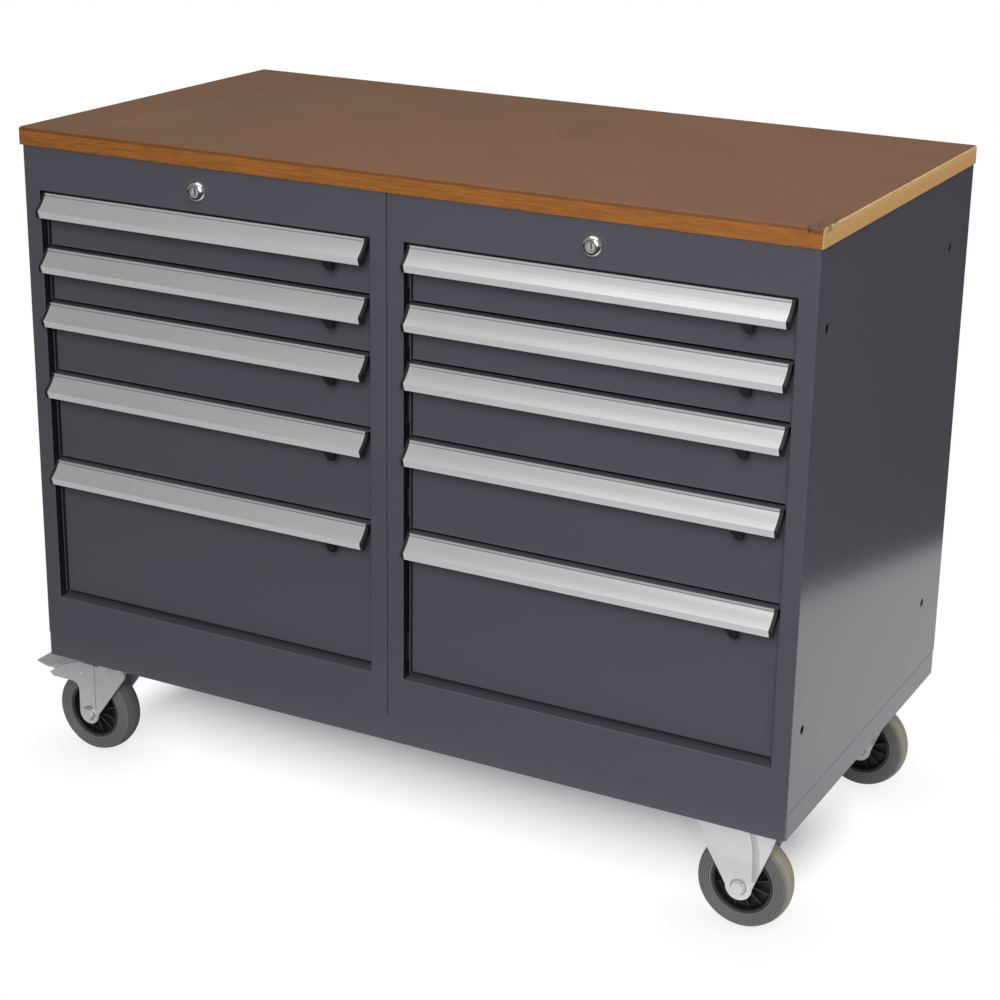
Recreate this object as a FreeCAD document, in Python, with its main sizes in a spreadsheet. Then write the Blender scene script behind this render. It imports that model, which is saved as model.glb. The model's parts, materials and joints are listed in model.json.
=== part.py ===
import FreeCAD, Part
import math
import os
from types import SimpleNamespace
import Sketcher
from FreeCAD import Rotation, Vector

# Mobile workbench: two drawer cabinets side by side on one plinth with four castors,
# under a common wooden top. Millimetres, Z up, the front looks along -Y.
# The origin lies on the floor under the middle of the whole outline.

# Driving sizes
SIZES = {
    "cabinet_width": 564.0,  # one cabinet, from its outer side to the seam
    "cabinet_depth": 575.0,
    "cabinet_height": 703.5,
    "cabinet_seam": 0.6,  # joint between the two cabinets
    "steel": 1.5,  # sheet of the cabinets
    "bend_radius": 1.5,  # outer radius of folded sheet
    "post_width": 24.5,  # front posts beside the drawers
    "post_depth": 30.0,  # how far the front frame folds back into the cabinet
    "top_rail": 59.7,  # front rail over the drawers
    "bottom_rail": 64.0,
    "upright_setback": 447.0,  # front face to the rear uprights that carry the slides
    "upright_depth": 30.0,
    "side_hole_radius": 6.0,  # joining holes in the cabinet sides
    "side_hole_front": 36.0,
    "side_hole_back": 78.0,
    "side_hole_end": 100.0,
    "lock_drop": 31.5,  # lock axis below the cabinet top
    "lock_hole_radius": 9.6,
    "lock_barrel_radius": 9.4,
    "lock_barrel": 22.0,  # length behind the rail's face
    "lock_core_proud": 0.3,  # core in front of its collar
    "lock_flange_radius": 12.5,
    "lock_flange_proud": 4.5,
    "lock_core_radius": 7.5,
    "lock_core_clearance": 0.06,
    "key_slot_width": 2.2,
    "key_slot_height": 9.0,
    "key_slot_depth": 5.0,
    "cam_radius": 8.0,  # cam radius under the locking bar at rest
    "cam_lift": 8.0,  # how much the cam radius grows in a quarter turn
    "cam_thickness": 4.0,
    "cam_clearance": 0.3,
    "lock_bar_thickness": 4.0,
    "lock_bar_height": 9.0,
    "lock_foot": 3.0,  # foot of the bar that stands on the cam
    "drawer_gap": 2.5,  # between one front and the next
    "drawer_side_gap": 2.0,  # between a front and the post
    "front_setback": 13.0,  # drawer front behind the cabinet front
    "drawer_steel": 1.2,
    "drawer_length": 500.0,  # front panel to the back wall of the tray
    "tray_lift": 8.0,  # tray floor above the lower edge of the front
    "tray_drop": 8.0,  # tray rim below the upper edge of the front
    "front_lip": 10.0,  # fold at the foot of a drawer front
    "fold_setback": 0.5,  # edge of the top fold behind the cabinet front
    "slide_space": 12.6,  # post to tray, filled by one telescopic slide
    "slide_height": 36.0,
    "slide_steel": 1.2,
    "slide_gap": 0.4,  # running gap between two slide members
    "slide_length": 500.0,
    "slide_rise": 24.0,  # slide middle above the tray floor
    "slide_setback": 3.5,  # front panel face to the slide's front end
    "handle_nose": 1.5,  # aluminium nose in front of the painted fold
    "handle_flange": 2.0,
    "handle_wall": 2.1,
    "handle_reach": 17.5,  # ridge of the handle in front of the cabinet
    "handle_ridge_drop": 21.5,
    "handle_drop": 31.0,
    "handle_lip_back": 2.9,  # lower edge behind the ridge
    "handle_hollow_radius": 60.0,  # hollow of the upper face
    "handle_bead": 2.2,  # bead along the top
    "handle_groove": 0.7,  # groove under the bead
    "handle_flange_gap": 1.5,  # flange to the front panel
    "handle_cap": 4.5,  # plastic end caps
    "latch_inset": 46.0,  # end of the front to the thumb face of the latch
    "latch_slider_length": 34.0,
    "latch_slider_height": 5.0,
    "latch_slider_depth": 6.0,
    "latch_slider_setback": 3.5,  # slider front behind the cabinet front
    "latch_clearance": 0.3,
    "latch_fin_width": 18.0,
    "latch_nub_width": 8.0,  # thumb end of the fin
    "latch_fin_drop": 43.5,  # tip below the top of the handle
    "latch_travel": 8.0,
    "latch_guide": 1.5,
    "plinth_height": 35.0,
    "plinth_steel": 2.0,
    "plinth_corner": 3.5,
    "plinth_edge": 1.0,
    "plinth_channel": 130.0,  # cross channels over the castors
    "castor_height": 155.0,  # floor to the mounting plate
    "plate_length": 105.0,
    "plate_width": 88.0,
    "plate_thickness": 3.0,
    "plate_hole_x": 80.0,
    "plate_hole_y": 60.0,
    "bolt_head_radius": 7.5,
    "bolt_head": 5.3,
    "wheel_radius": 62.5,
    "tyre_half_width": 17.0,
    "tyre_crown": 4.0,  # radius lost over each shoulder
    "tyre_shoulder": 5.0,  # width of a shoulder
    "rim_radius": 36.5,
    "rim_half_width": 15.0,
    "rim_web": 4.0,
    "hub_radius": 13.0,
    "hub_half_width": 22.0,
    "rib_thickness": 2.6,
    "rib_half_width": 11.0,
    "axle_radius": 5.0,
    "axle_clearance": 0.05,
    "axle_head_radius": 9.2,  # across the corners
    "axle_head": 5.0,
    "castor_steel": 2.5,
    "fork_inner": 48.0,  # between the cheeks
    "bracket_low": 95.0,  # height where the bracket sides start to spread
    "bracket_step": 1.6,  # pressed step of the bracket sides
    "bracket_step_x": 20.0,  # step to the right of the axle
    "bracket_foot": 17.8,  # radius round the axle
    "bracket_shoulder": 44.0,  # height of the corner in the left edge
    "bracket_shoulder_in": 8.0,
    "fixed_inset": 67.0,  # fixed castors, axle to the right end
    "front_inset": 50.0,  # castor middle to the front
    "rear_inset": 80.0,  # castor middle to the back
    "swivel_inset": 85.0,  # kingpin to the left end
    "swivel_trail": 38.0,  # kingpin to axle
    "fork_top": 140.0,
    "fork_foot": 16.5,  # radius round the axle
    "fork_notch": 13.0,  # radius between the leg and the horn
    "fork_step": 1.2,  # pressed step of the fork sides
    "fork_step_x": 9.0,
    "horn_height": 107.5,  # underside of the horn that carries the brake
    "horn_length": 69.0,  # axle to the horn's tip
    "horn_tip": 5.5,
    "horn_bend": 48.0,  # axle to the bend in the horn's upper edge
    "horn_bend_drop": 13.0,
    "crown_start": 14.0,  # axle to the front end of the flat crown
    "crown_drop": 9.0,  # upright edge at the back of the crown
    "race_radius": 37.0,
    "race_height": 5.7,
    "kingpin_radius": 6.0,
    "kingpin_head_radius": 10.0,
    "kingpin_head": 4.0,
    "swivel_clearance": 0.3,
    "pedal_reach": 92.0,  # axle to the outer edge of the brake pedal
    "pedal_width": 50.0,
    "pedal_depth": 20.0,
    "pedal_height": 126.0,
    "pedal_arm_gap": 1.5,  # brake arm to the fork cheek
    "brake_pivot_x": 13.4,  # brake pivot outside the axle
    "brake_pivot_z": 120.6,
    "brake_pin_radius": 3.0,
    "brake_eye": 6.0,  # half height of the arm round the pin
    "brake_bridge": 32.0,  # axle to the near end of the bridge
    "brake_bend": 58.0,  # axle to the bend in the arms
    "brake_dip": 5.0,  # how far the arms dip before the pedal
    "brake_arm_depth": 9.0,
    "brake_shoe": 10.0,  # length of the brake block along the arms
    "brake_gap": 5.4,  # brake block to the tyre when the pedal is up
    "worktop_thickness": 24.0,
    "worktop_overhang": 2.2,
    "worktop_overhang_left": 4.6,
    "worktop_round": 3.5,
    "worktop_corner": 3.0,
}
DRAWER_UNITS = (3, 3, 4, 5, 8)  # drawer fronts from the top down, in height units
RIM_RIBS = 12
SIDES = (("left", -1), ("right", 1))

doc = FreeCAD.newDocument("MobileWorkbench")
sheet = doc.addObject("Spreadsheet::Sheet", "Sizes")
for row, (word, number) in enumerate(SIZES.items(), 1):
    sheet.set("A%d" % row, word)
    sheet.set("B%d" % row, str(number))
    sheet.setAlias("B%d" % row, word)
doc.recompute()


class Size:
    """A length that keeps its number and its expression in the sheet together"""

    def __init__(self, number, text):
        self.number = float(number)
        self.text = text

    def __add__(self, other):
        other = as_size(other)
        return Size(self.number + other.number, "(%s + %s)" % (self.text, other.text))

    def __sub__(self, other):
        other = as_size(other)
        return Size(self.number - other.number, "(%s - %s)" % (self.text, other.text))

    def __mul__(self, other):
        other = as_size(other)
        return Size(self.number * other.number, "(%s * %s)" % (self.text, other.text))

    def __truediv__(self, other):
        other = as_size(other)
        return Size(self.number / other.number, "(%s / %s)" % (self.text, other.text))

    def __radd__(self, other):
        return as_size(other) + self

    def __rsub__(self, other):
        return as_size(other) - self

    def __rmul__(self, other):
        return as_size(other) * self

    def __neg__(self):
        return as_size(0) - self


def as_size(thing):
    """A plain number as a Size"""
    return thing if isinstance(thing, Size) else Size(thing, "%.6f" % thing)


s = SimpleNamespace(**{word: Size(sheet.get(word), "Sizes." + word) for word in SIZES})


# Sizes worked out from the driving ones
post_inner = s.cabinet_width / 2 - s.post_width
cabinet_half = (s.cabinet_width - s.cabinet_seam) / 2
cabinet_base = s.castor_height + s.plinth_height
opening_top = s.cabinet_height - s.top_rail
opening_base = s.bottom_rail
drawer_unit = (opening_top - opening_base - s.drawer_gap) / sum(DRAWER_UNITS)
front_half = post_inner - s.drawer_side_gap
tray_half = post_inner - s.slide_space
lock_height = s.cabinet_height - s.lock_drop
slide_start = s.front_setback + s.slide_setback
bench_half = s.cabinet_width
middle_x = (s.worktop_overhang + s.swivel_inset - s.swivel_trail - s.pedal_reach) / 2
middle_y = (s.worktop_overhang - s.handle_reach) / 2
front_plane = -s.cabinet_depth / 2
cheek_inner = s.fork_inner / 2
cheek_outer = cheek_inner + s.castor_steel


# Helpers
def bind(thing, **formulas):
    """Ties properties of an object to the sheet"""
    for name, formula in formulas.items():
        thing.setExpression(name, as_size(formula).text)


def put(thing, x=0, y=0, z=0):
    """Places an object by lengths from the sheet"""
    for axis, formula in zip("xyz", (x, y, z)):
        thing.setExpression("Placement.Base." + axis, as_size(formula).text)
    return thing


def node(thing, name, x=0, y=0, z=0):
    """Names a finished sub-part and places it, seen from the middle of the bench on the floor"""
    thing.Label = name
    put(thing, x - middle_x, y - middle_y, z)
    nodes.append(thing)


def block(x, y, z):
    """A box between two lengths along each axis, given in rising order"""
    box = doc.addObject("Part::Box", "Block")
    bind(box, Length=x[1] - as_size(x[0]), Width=y[1] - as_size(y[0]), Height=z[1] - as_size(z[0]))
    return put(box, x[0], y[0], z[0])


def span(side, near, far):
    """The stretch between two distances from the middle plane, on one side of it"""
    near, far = as_size(near), as_size(far)
    return (near, far) if side > 0 else (-far, -near)


AXES = {"x": Vector(0, 1, 0), "y": Vector(-1, 0, 0), "z": Vector(0, 0, 1)}
TURNS = {"x": 90, "y": 90, "z": 0}


def rod(axis, radius, start, end, a=0, b=0):
    """A cylinder along an axis from start to end. a and b are its place on the two other axes"""
    cylinder = doc.addObject("Part::Cylinder", "Rod")
    bind(cylinder, Radius=radius, Height=end - as_size(start))
    cylinder.Placement.Rotation = Rotation(AXES[axis], TURNS[axis])
    place = {"x": (start, a, b), "y": (a, start, b), "z": (a, b, start)}[axis]
    return put(cylinder, *place)


def hexagon(axis, radius, start, end, a=0, b=0):
    """A six-sided bolt head or nut. radius reaches its corners"""
    prism = doc.addObject("Part::Prism", "Hexagon")
    bind(prism, Circumradius=radius, Height=end - as_size(start))
    prism.Placement.Rotation = Rotation(AXES[axis], TURNS[axis])
    place = {"x": (start, a, b), "y": (a, start, b), "z": (a, b, start)}[axis]
    return put(prism, *place)


def fuse(*parts):
    """One solid from several"""
    whole = doc.addObject("Part::MultiFuse", "Fusion")
    whole.Shapes = list(parts)
    whole.Refine = True
    return whole


def cut(base, *tools):
    """base without the tools"""
    rest = doc.addObject("Part::Cut", "Cut")
    rest.Base = base
    rest.Tool = tools[0] if len(tools) == 1 else fuse(*tools)
    return rest


def common(first, second):
    """What two solids share"""
    both = doc.addObject("Part::Common", "Common")
    both.Base = first
    both.Tool = second
    return both


def group(*parts):
    """Separate solids kept in one sub-part"""
    compound = doc.addObject("Part::Compound", "Group")
    compound.Links = list(parts)
    return compound


def round_edges(base, radius, chosen):
    """Rounds the edges of a solid that the function chosen picks"""
    doc.recompute()
    fillet = doc.addObject("Part::Fillet", "Rounding")
    fillet.Base = base
    picked = [i for i, edge in enumerate(base.Shape.Edges, 1) if chosen(edge)]
    fillet.Edges = [(i, radius.number, radius.number) for i in picked]
    return fillet


def bevel_edges(base, size, chosen):
    """Bevels the edges of a solid that the function chosen picks"""
    doc.recompute()
    bevel = doc.addObject("Part::Chamfer", "Bevel")
    bevel.Base = base
    picked = [i for i, edge in enumerate(base.Shape.Edges, 1) if chosen(edge)]
    bevel.Edges = [(i, size.number, size.number) for i in picked]
    return bevel


def along(edge, axis):
    """True for a straight edge that runs along an axis"""
    if not isinstance(edge.Curve, Part.Line):
        return False
    return abs(abs(edge.tangentAt(edge.FirstParameter).dot(axis)) - 1) < 1e-6


PLANES = {
    "yz": (Rotation(Vector(0, 1, 0), Vector(0, 0, 1), Vector(1, 0, 0), "XYZ"), Vector(1, 0, 0)),
    "xz": (Rotation(Vector(1, 0, 0), Vector(0, 0, 1), Vector(0, -1, 0), "XYZ"), Vector(0, 1, 0)),
}


def draw(sketch, points):
    """Closes an outline through points and ties each to the sheet.
    A third value on a point is the radius of the arc from it to the next, negative to the right"""
    corners = [(as_size(p[0]), as_size(p[1]), as_size(p[2]) if len(p) > 2 else None) for p in points]
    shapes = []
    starts = []
    for here, there in zip(corners, corners[1:] + corners[:1]):
        a = Vector(here[0].number, here[1].number, 0)
        b = Vector(there[0].number, there[1].number, 0)
        if here[2] is None:
            shapes.append(Part.LineSegment(a, b))
            starts.append((1, 2))
            continue
        chord = b - a
        radius = abs(here[2].number)
        sagitta = radius - math.sqrt(radius ** 2 - (chord.Length / 2) ** 2)
        left = Vector(-chord.y, chord.x, 0).normalize()
        turn = 1 if here[2].number > 0 else -1
        middle = (a + b) * 0.5 - left * sagitta * turn
        shapes.append(Part.Arc(a, middle, b))
        starts.append((1, 2) if turn > 0 else (2, 1))
    first = sketch.addGeometry(shapes, False)[0]
    for i, (shape_ends, corner) in enumerate(zip(starts, corners)):
        following = (i + 1) % len(corners)
        start, end = shape_ends
        sketch.addConstraint(Sketcher.Constraint("Coincident", first + i, end, first + following, starts[following][0]))
        for kind, size in (("DistanceX", corner[0]), ("DistanceY", corner[1])):
            added = sketch.addConstraint(Sketcher.Constraint(kind, -1, 1, first + i, start, size.number))
            sketch.setExpression("Constraints[%d]" % added, size.text)
        if corner[2] is not None:
            size = corner[2] if corner[2].number > 0 else -corner[2]
            added = sketch.addConstraint(Sketcher.Constraint("Radius", first + i, size.number))
            sketch.setExpression("Constraints[%d]" % added, size.text)


def prism(plane, points, start, end):
    """An outline in the yz or xz plane pushed along the third axis from start to end"""
    rotation, direction = PLANES[plane]
    sketch = doc.addObject("Sketcher::SketchObject", "Outline")
    sketch.Placement = FreeCAD.Placement(Vector(), rotation)
    draw(sketch, points)
    extrusion = doc.addObject("Part::Extrusion", "Prism")
    extrusion.Base = sketch
    extrusion.DirMode = "Custom"
    extrusion.Dir = direction
    extrusion.Solid = True
    bind(extrusion, LengthFwd=end - as_size(start))
    return put(extrusion, *[start if part else 0 for part in direction])


def body_sketch(body, role, points):
    """A sketch on one of a body's own planes"""
    plane = [face for face in body.Origin.OriginFeatures if face.Role == role][0]
    sketch = body.newObject("Sketcher::SketchObject", "Section")
    sketch.AttachmentSupport = [(plane, "")]
    sketch.MapMode = "FlatFace"
    draw(sketch, points)
    return sketch


def revolved(points, name):
    """A body turned about the Y axis from a section of (radius, place along the axis)"""
    body = doc.addObject("PartDesign::Body", name)
    sketch = body_sketch(body, "XY_Plane", points)
    turned = body.newObject("PartDesign::Revolution", "Turned")
    turned.Profile = sketch
    turned.ReferenceAxis = (sketch, ["V_Axis"])
    turned.Angle = 360
    return body


nodes = []


# Worktop
def make_worktop():
    """Multiplex board with rounded upper edges"""
    left, right = -bench_half - s.worktop_overhang_left, bench_half + s.worktop_overhang
    half_y = s.cabinet_depth / 2 + s.worktop_overhang
    body = doc.addObject("PartDesign::Body", "Worktop")
    outline = [(left, -half_y), (right, -half_y), (right, half_y), (left, half_y)]
    pad = body.newObject("PartDesign::Pad", "Board")
    pad.Profile = body_sketch(body, "XY_Plane", outline)
    bind(pad, Length=s.worktop_thickness)
    doc.recompute()
    upright = ["Edge%d" % i for i, edge in enumerate(pad.Shape.Edges, 1) if along(edge, Vector(0, 0, 1))]
    corners = body.newObject("PartDesign::Fillet", "Corners")
    corners.Base = (pad, upright)
    bind(corners, Radius=s.worktop_corner)
    doc.recompute()
    top = corners.Shape.BoundBox.ZMax
    rim = ["Edge%d" % i for i, edge in enumerate(corners.Shape.Edges, 1) if edge.BoundBox.ZMin > top - 0.01]
    softened = body.newObject("PartDesign::Fillet", "UpperRound")
    softened.Base = (corners, rim)
    bind(softened, Radius=s.worktop_round)
    node(body, "worktop", z=cabinet_base + s.cabinet_height)


# Cabinets
def make_cabinet(side_name, side):
    """Welded sheet housing: sides, top, bottom and back, front frame and rear uprights.
    Its own origin is the middle of its front lower edge"""
    half = cabinet_half
    wall = s.steel
    inner_half = half - wall
    shell = cut(
        block((-half, half), (0, s.cabinet_depth), (0, s.cabinet_height)),
        block((-inner_half, inner_half), (-wall, s.cabinet_depth - wall), (wall, s.cabinet_height - wall)))
    face = block((-half, half), (0, wall), (0, s.cabinet_height))
    folded = block((-post_inner - wall, post_inner + wall), (0, s.post_depth),
                   (opening_base - wall, opening_top + wall))
    uprights = []
    for _, hand in SIDES:
        upright_end = s.upright_setback + s.upright_depth
        uprights.append(block(span(hand, post_inner, post_inner + wall), (s.upright_setback, upright_end),
                              (0, s.cabinet_height)))
        uprights.append(block(span(hand, post_inner, inner_half), (s.upright_setback, s.upright_setback + wall),
                              (0, s.cabinet_height)))
    opening = block((-post_inner, post_inner), (-wall, s.post_depth + wall), (opening_base, opening_top))
    holes = [rod("y", s.lock_hole_radius, -wall, 2 * wall, 0, lock_height)]
    for along_y in (s.side_hole_front, s.cabinet_depth - s.side_hole_back):
        for up in (s.side_hole_end, s.cabinet_height - s.side_hole_end):
            start, end = span(side, inner_half - wall / 2, half + wall)
            holes.append(rod("x", s.side_hole_radius, start, end, along_y, up))
    welded = cut(fuse(shell, face, folded, *uprights), opening, *holes)
    levels = opening_base.number, opening_top.number

    def outer_fold(edge):
        """The cabinet's upright front corners and the rim of its opening"""
        box = edge.BoundBox
        if box.YMax > 1e-6:
            return False
        if along(edge, Vector(0, 0, 1)):
            return min(abs(abs(box.XMin) - at.number) for at in (half, post_inner)) < 1e-6
        return along(edge, Vector(1, 0, 0)) and min(abs(box.ZMin - level) for level in levels) < 1e-6

    rounded = round_edges(welded, s.bend_radius, outer_fold)
    node(rounded, "cabinet_" + side_name, side * s.cabinet_width / 2, front_plane, cabinet_base)


# Plinth
def make_plinth():
    """Folded frame under both cabinets, open below, with a cross channel over each pair of castors"""
    half_x = bench_half - s.cabinet_seam / 2
    wall = s.plinth_steel
    outer = block((-half_x, half_x), (0, s.cabinet_depth), (0, s.plinth_height))
    rounded = round_edges(outer, s.plinth_corner, lambda edge: along(edge, Vector(0, 0, 1)))
    top = s.plinth_height.number
    bevelled = bevel_edges(rounded, s.plinth_edge, lambda edge: edge.BoundBox.ZMin > top - 1e-6)
    hollow = block((-half_x + wall, half_x - wall), (wall, s.cabinet_depth - wall), (-wall, s.plinth_height - wall))
    channels = []
    for middle in (-half_x + s.swivel_inset, half_x - s.fixed_inset):
        near = middle - s.plinth_channel / 2
        far = middle + s.plinth_channel / 2
        depth = (wall / 2, s.cabinet_depth - wall / 2)
        channels.append(block((near, far), depth, (0, wall)))
        channels.append(block((near, near + wall), depth, (0, s.plinth_height - wall / 2)))
        channels.append(block((far - wall, far), depth, (0, s.plinth_height - wall / 2)))
    node(fuse(cut(bevelled, hollow), *channels), "plinth", 0, front_plane, s.castor_height)


def castor_places():
    """Plate middles of the four castors from the bench middle and the front face"""
    rows = (s.front_inset, s.cabinet_depth - s.rear_inset)
    columns = (s.swivel_inset - bench_half, bench_half - s.fixed_inset)
    return [(x, y) for x in columns for y in rows]


def plate_holes():
    """The four bolts of one castor plate from its middle"""
    return [(sx * s.plate_hole_x / 2, sy * s.plate_hole_y / 2) for sx in (-1, 1) for sy in (-1, 1)]


# Drawer slides
def channel(x_web, x_lip, y, z, steel):
    """A C-shaped slide member whose web stands at x_web and whose lips end at x_lip"""
    x_web, x_lip = as_size(x_web), as_size(x_lip)
    hand = 1 if x_web.number > x_lip.number else -1
    outer = (x_lip, x_web) if hand > 0 else (x_web, x_lip)
    inner_web = x_web - hand * steel
    past_lip = x_lip - hand * steel
    inner = (past_lip, inner_web) if hand > 0 else (inner_web, past_lip)
    return cut(block(outer, y, z), block(inner, (y[0] - steel, y[1] + steel), (z[0] + steel, z[1] - steel)))


def slide_member(hand, layer):
    """One member of a telescopic slide around its own middle height.
    layer 0 is fixed to the cabinet, 1 is the middle one, 2 is fixed to the drawer"""
    steel, gap = s.slide_steel, s.slide_gap
    half = s.slide_height / 2 - layer * (steel + gap)
    length = (slide_start, slide_start + s.slide_length)
    height = (-half, half)
    if layer == 0:
        return channel(hand * post_inner, hand * (post_inner - s.slide_space * 0.7), length, height, steel)
    if layer == 1:
        web = post_inner - steel - gap
        return channel(hand * web, hand * (tray_half + steel + gap), length, height, steel)
    lip = post_inner - 2 * (steel + gap) - gap
    return channel(hand * tray_half, hand * lip, length, height, steel)


def drawer_levels():
    """Lower edge and height of each drawer front from the top one down, above the cabinet's base"""
    levels = []
    upper = opening_top - s.drawer_gap
    for units in DRAWER_UNITS:
        height = units * drawer_unit - s.drawer_gap
        levels.append((upper - height, height))
        upper = upper - units * drawer_unit
    return levels


def make_slide_rails():
    """Cabinet members of all the slides, bolted to the posts and uprights"""
    rails = []
    for _, side in SIDES:
        for base, _ in drawer_levels():
            for _, hand in SIDES:
                rails.append(put(slide_member(hand, 0), side * s.cabinet_width / 2, 0, base + s.tray_lift + s.slide_rise))
    node(group(*rails), "slide_rails", 0, front_plane, cabinet_base)


# Drawers
def make_drawer(name, x, base, height):
    """Folded front and tray with the two inner slide members.
    Its own origin is the middle of the front's lower edge, on the cabinet's front plane"""
    steel = s.drawer_steel
    face, back = s.front_setback, s.front_setback + steel
    lip = back + s.slide_setback - steel * 2
    front = prism("yz", [
        (face, 0), (lip, 0), (lip, steel), (back, steel),
        (back, height), (s.fold_setback, height), (s.fold_setback, height - steel), (face, height - steel),
    ], -front_half, front_half)
    rim = height - s.tray_drop
    tray = cut(
        block((-tray_half, tray_half), (back, back + s.drawer_length), (s.tray_lift, rim)),
        block((-tray_half + steel, tray_half - steel), (back + steel, back + s.drawer_length - steel),
              (s.tray_lift + steel, rim + steel)))
    slides = [put(slide_member(hand, 2), 0, 0, s.tray_lift + s.slide_rise) for _, hand in SIDES]
    node(group(front, tray, *slides), name, x, front_plane, cabinet_base + base)


def make_slide_middles(name, x, base):
    """The pair of middle slide members of one drawer"""
    pair = [put(slide_member(hand, 1), 0, 0, s.tray_lift + s.slide_rise) for _, hand in SIDES]
    node(group(*pair), name, x, front_plane, cabinet_base + base)


# Handles
def handle_face(inward):
    """Outer corners of the handle's sloping face, moved inward by one wall"""
    ridge_y = -s.handle_reach + inward
    return {
        "ridge": (ridge_y, -s.handle_ridge_drop - inward * 0.15),
        "lip": (-s.handle_reach + s.handle_lip_back + inward * 0.95, -s.handle_drop + inward * 0.3),
    }


def make_handle(name, x, top):
    """Aluminium strip hooked under the front's top fold, its end caps and the latch guide.
    Its own origin is the middle of the front's upper edge, on the cabinet's front plane"""
    steel = s.drawer_steel
    edge = s.fold_setback
    nose = edge - s.handle_nose
    under = -steel - s.handle_flange
    outer, inner = handle_face(as_size(0)), handle_face(s.handle_wall)
    back = s.front_setback - s.handle_flange_gap
    bead, groove, wall = s.handle_bead, s.handle_groove, s.handle_wall
    face_top = (nose - groove, -bead - groove * 2, -s.handle_hollow_radius)
    strip = prism("yz", [
        (edge, 0), (nose, 0), (nose, -bead), (nose + groove, -bead - groove), face_top, outer["ridge"],
        outer["lip"], inner["lip"], (*inner["ridge"], s.handle_hollow_radius),
        (nose + wall * 0.6, under - wall), (nose + wall * 1.6, under), (back, under), (back, -steel), (edge, -steel),
    ], -front_half + s.handle_cap, front_half - s.handle_cap)
    caps = []
    for _, hand in SIDES:
        start, end = span(hand, front_half - s.handle_cap, front_half)
        caps.append(prism("yz", [
            (edge, 0), (nose, 0), face_top, outer["ridge"], outer["lip"], (outer["lip"][0] + wall * 2, outer["lip"][1]),
            (edge + wall, under - wall * 3), (back, under - wall), (back, -steel), (edge, -steel),
        ], start, end))
    rail = s.latch_guide
    guide_back = s.latch_slider_setback + s.latch_slider_depth + s.latch_clearance
    guide_base = under - s.latch_slider_height - s.latch_clearance * 2
    middle = latch_middle()
    reach = s.latch_slider_length / 2
    guide = prism("yz", [
        (guide_back + rail, under), (guide_back, under), (guide_back, guide_base), (guide_back - rail, guide_base),
        (guide_back - rail, guide_base - rail), (guide_back + rail, guide_base - rail),
    ], middle - reach - s.latch_travel, middle + reach)
    node(group(strip, *caps, guide), name, x, front_plane, cabinet_base + top)


def latch_middle():
    """Middle of the latch slider along the handle"""
    return front_half - s.latch_inset - s.latch_fin_width / 2


def make_latch(name, x, top):
    """Thumb latch: a slider under the handle's flange with a fin that hangs below the lip"""
    under = -s.drawer_steel - s.handle_flange
    slider_top = under - s.latch_clearance
    slider_base = slider_top - s.latch_slider_height
    slider_front = s.latch_slider_setback
    middle = latch_middle()
    reach = s.latch_slider_length / 2
    slider = block((middle - reach, middle + reach), (slider_front, slider_front + s.latch_slider_depth),
                   (slider_base, slider_top))
    inner = handle_face(s.handle_wall)
    clear = s.latch_clearance * 2
    nub = inner["lip"][0] + clear
    root = slider_front + s.latch_slider_depth / 2
    side_view = prism("yz", [
        (slider_front, slider_base), (slider_front, slider_top), (root, slider_top), (root, slider_base - clear),
        (nub + s.latch_nub_width, -s.handle_drop), (nub + s.latch_nub_width, -s.latch_fin_drop),
        (nub, -s.latch_fin_drop), (nub, -s.handle_drop), (inner["ridge"][0] + clear * 2, inner["ridge"][1]),
    ], middle - s.latch_fin_width, middle + s.latch_fin_width)
    right = front_half - s.latch_inset
    left = right - s.latch_fin_width
    nub_left = right - s.latch_nub_width
    past = s.latch_fin_drop + clear
    front_view = prism("xz", [
        (left, slider_top + clear), (left, -s.handle_drop), (nub_left, -s.latch_fin_drop + clear), (nub_left, -past),
        (right, -past), (right, slider_top + clear),
    ], -s.handle_reach, s.front_setback)
    node(fuse(slider, common(side_view, front_view)), name, x, front_plane, cabinet_base + top)


# Locks
def make_lock_collars():
    """Chrome collars of the two locks, with the barrel through the top rail"""
    collars = []
    for _, side in SIDES:
        flange = s.lock_flange_proud
        bore = s.lock_core_radius + s.lock_core_clearance
        collar = revolved([
            (bore, -flange), (s.lock_barrel_radius, -flange), (s.lock_flange_radius, 0), (s.lock_barrel_radius, 0),
            (s.lock_barrel_radius, s.lock_barrel), (bore, s.lock_barrel)], "LockCollar")
        collars.append(put(collar, side * s.cabinet_width / 2, 0, lock_height))
    node(group(*collars), "lock_collars", 0, front_plane, cabinet_base)


def cam_outline():
    """Spiral whose radius grows evenly over a quarter turn, facing up at rest, and the hub it grows from"""
    steps, over = 8, 10
    outline = []
    for i in range(steps + 1):
        turn = -over + (90 + 2 * over) * i / steps
        radius = s.cam_radius + s.cam_lift * (turn / 90)
        outline.append((radius * -math.sin(math.radians(turn)), radius * math.cos(math.radians(turn))))
    return outline + [(0, s.lock_core_radius * -0.8), (s.lock_core_radius * 0.8, 0)]


def make_lock_core(side_name, side):
    """Turning cylinder with its key slot in front and the spiral cam behind"""
    bar_front = s.post_depth + s.cam_clearance
    front = -s.lock_flange_proud - s.lock_core_proud
    cylinder = rod("y", s.lock_core_radius, front, bar_front + s.cam_thickness)
    slot = block((-s.key_slot_width / 2, s.key_slot_width / 2), (front - 1, front + s.key_slot_depth),
                 (-s.key_slot_height / 2, s.key_slot_height / 2))
    cam = prism("xz", cam_outline(), bar_front, bar_front + s.cam_thickness)
    node(fuse(cut(cylinder, slot), cam), "lock_core_" + side_name,
         side * s.cabinet_width / 2, front_plane, cabinet_base + lock_height)


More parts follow.
